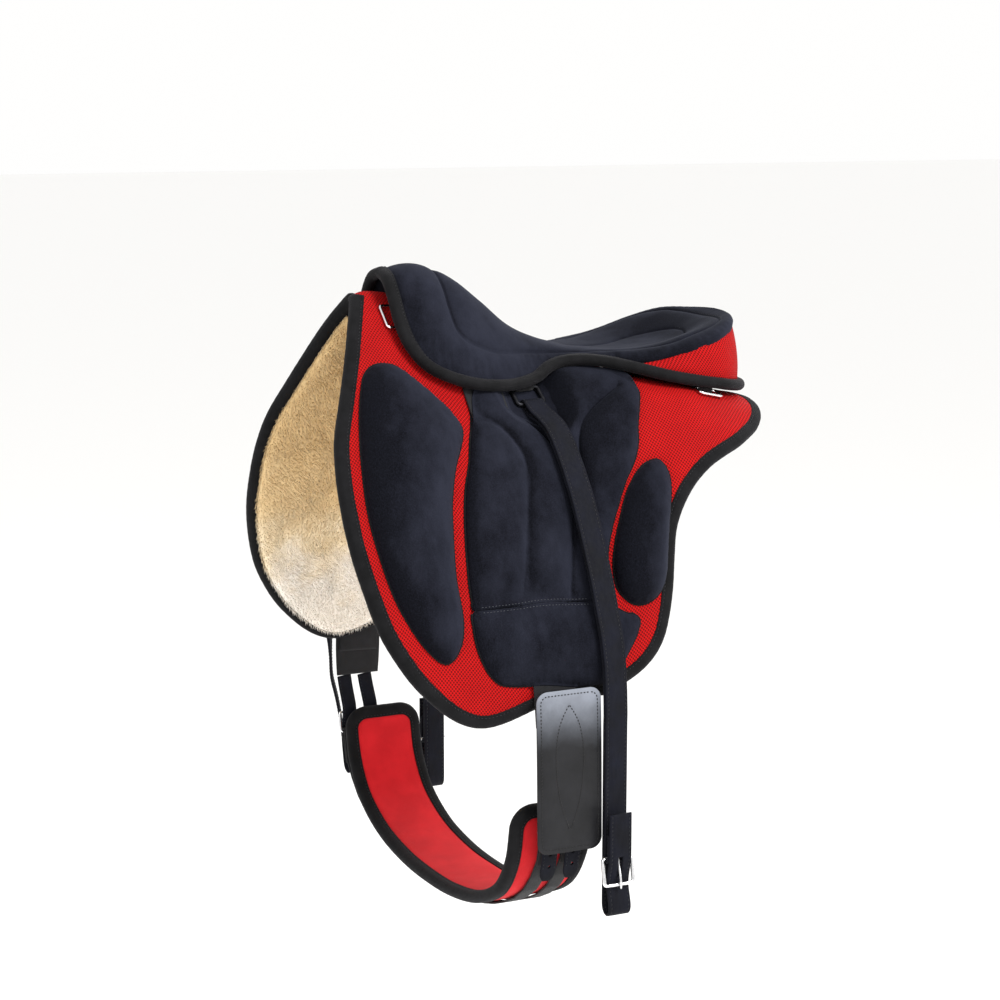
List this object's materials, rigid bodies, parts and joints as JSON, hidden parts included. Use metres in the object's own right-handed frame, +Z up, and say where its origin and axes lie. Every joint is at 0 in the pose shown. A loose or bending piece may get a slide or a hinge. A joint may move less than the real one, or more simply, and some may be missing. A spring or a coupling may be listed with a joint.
{
  "type": "treeless saddle",
  "caption": "Treeless saddle: padded mesh panels with fleece lining, dished suede seat, quilted flap patches, stirrup leathers, rings, billets, buckle guards and a closed girth.",
  "frame": {"origin": "underside of the gullet strip on the centre plane, over the stirrup bars, where the saddle rests on a back or a rack", "axes": "+Z up, -Y towards the pommel, +Y towards the cantle, +X out of the near (left) side"},
  "size_m": [0.4952, 0.5118, 0.6767],
  "materials": {
    "red_spacer_mesh": "open spacer mesh, matt",
    "cream_fleece": "dense cut pile fleece",
    "black_suede": "napped synthetic suede",
    "black_binding": "rolled bias binding, fine ribs",
    "black_webbing": "woven webbing",
    "black_leather": "smooth grain, satin",
    "chrome": "bright plate",
    "red_girth_cloth": "plain close cloth over foam"
  },
  "bodies": {
    "saddle": {"near_panel": "red_spacer_mesh", "near_fleece": "cream_fleece", "near_panel_binding": "black_binding", "near_knee_block": "black_suede", "near_thigh_block": "black_suede", "near_quilted_patch": "black_suede", "near_patch_band": "black_suede", "near_stirrup_bar": "chrome", "near_front_ring_tab": "black_webbing", "near_rear_ring_tab": "black_webbing", "near_billet_block": "black_webbing", "near_middle_billet": "black_leather", "near_rear_billet": "black_leather", "near_front_girth_buckle": "chrome", "near_rear_girth_buckle": "chrome", "far_panel": "red_spacer_mesh", "far_fleece": "cream_fleece", "far_panel_binding": "black_binding", "far_knee_block": "black_suede", "far_thigh_block": "black_suede", "far_quilted_patch": "black_suede", "far_patch_band": "black_suede", "far_stirrup_bar": "chrome", "far_front_ring_tab": "black_webbing", "far_rear_ring_tab": "black_webbing", "far_billet_block": "black_webbing", "far_front_billet": "black_leather", "far_middle_billet": "black_leather", "far_rear_billet": "black_leather", "far_front_girth_buckle": "chrome", "far_rear_girth_buckle": "chrome", "gullet_strip": "black_suede", "seat_cushion": "black_suede", "seat_binding": "black_binding", "cantle_gusset": "red_spacer_mesh", "rigging_web": "black_webbing", "stirrup_web": "black_webbing", "girth_pad": "red_girth_cloth", "girth_binding": "black_binding", "girth_front_web": "black_webbing", "girth_rear_web": "black_webbing"},
    "near_leather": {"near_stirrup_leather": "black_leather", "near_leather_buckle": "chrome"},
    "near_leather_pin": {"near_leather_tongue": "chrome"},
    "near_front_ring": {"near_front_d_ring": "chrome"},
    "near_rear_ring": {"near_rear_d_ring": "chrome"},
    "near_front_girth_pin": {"near_front_girth_tongue": "chrome"},
    "near_rear_girth_pin": {"near_rear_girth_tongue": "chrome"},
    "near_guard": {"near_buckle_guard": "black_leather"},
    "far_leather": {"far_stirrup_leather": "black_leather", "far_leather_buckle": "chrome"},
    "far_leather_pin": {"far_leather_tongue": "chrome"},
    "far_front_ring": {"far_front_d_ring": "chrome"},
    "far_rear_ring": {"far_rear_d_ring": "chrome"},
    "far_front_girth_pin": {"far_front_girth_tongue": "chrome"},
    "far_rear_girth_pin": {"far_rear_girth_tongue": "chrome"},
    "far_guard": {"far_buckle_guard": "black_leather"}
  },
  "joints": [
    {"name": "near_leather_swing", "type": "hinge", "parent": "saddle", "child": "near_leather", "pos_m": [0.07581, 0.00089, -0.04242], "axis": [0.1828, -0.9831, 0], "range_deg": [0, 40]},
    {"name": "near_leather_pin_turn", "type": "hinge", "parent": "near_leather", "child": "near_leather_pin", "pos_m": [0.2365, 0.02, -0.4863], "axis": [0, -1, 0], "range_deg": [0, 25]},
    {"name": "near_front_ring_turn", "type": "hinge", "parent": "saddle", "child": "near_front_ring", "pos_m": [0.03313, -0.13216, 0.05], "axis": [-0.6776, -0.0586, 0.7331], "range_deg": [0, 15]},
    {"name": "near_rear_ring_turn", "type": "hinge", "parent": "saddle", "child": "near_rear_ring", "pos_m": [0.10068, 0.19266, -0.03492], "axis": [0.0905, -0.9729, 0.2128], "range_deg": [0, 15]},
    {"name": "near_front_girth_pin_turn", "type": "hinge", "parent": "saddle", "child": "near_front_girth_pin", "pos_m": [0.2159, -0.0475, -0.4583], "axis": [0, 1, 0], "range_deg": [0, 6]},
    {"name": "near_rear_girth_pin_turn", "type": "hinge", "parent": "saddle", "child": "near_rear_girth_pin", "pos_m": [0.2159, -0.0215, -0.4583], "axis": [0, 1, 0], "range_deg": [0, 6]},
    {"name": "near_guard_turn", "type": "hinge", "parent": "saddle", "child": "near_guard", "pos_m": [0.2262, -0.03, -0.3099], "axis": [0, -1, 0], "range_deg": [0, 184]},
    {"name": "far_leather_swing", "type": "hinge", "parent": "saddle", "child": "far_leather", "pos_m": [-0.07581, 0.00089, -0.04242], "axis": [0.1828, 0.9831, 0], "range_deg": [0, 40]},
    {"name": "far_leather_pin_turn", "type": "hinge", "parent": "far_leather", "child": "far_leather_pin", "pos_m": [-0.2365, 0.02, -0.4863], "axis": [0, 1, 0], "range_deg": [0, 25]},
    {"name": "far_front_ring_turn", "type": "hinge", "parent": "saddle", "child": "far_front_ring", "pos_m": [-0.03313, -0.13216, 0.05], "axis": [-0.6776, 0.0586, -0.7331], "range_deg": [0, 15]},
    {"name": "far_rear_ring_turn", "type": "hinge", "parent": "saddle", "child": "far_rear_ring", "pos_m": [-0.10068, 0.19266, -0.03492], "axis": [0.0905, 0.9729, -0.2128], "range_deg": [0, 15]},
    {"name": "far_front_girth_pin_turn", "type": "hinge", "parent": "saddle", "child": "far_front_girth_pin", "pos_m": [-0.2159, -0.0925, -0.4583], "axis": [0, -1, 0], "range_deg": [0, 25]},
    {"name": "far_rear_girth_pin_turn", "type": "hinge", "parent": "saddle", "child": "far_rear_girth_pin", "pos_m": [-0.2159, -0.0665, -0.4583], "axis": [0, -1, 0], "range_deg": [0, 25]},
    {"name": "far_guard_turn", "type": "hinge", "parent": "saddle", "child": "far_guard", "pos_m": [-0.2262, -0.08, -0.3099], "axis": [0, -1, 0], "range_deg": [0, 168]}
  ]
}
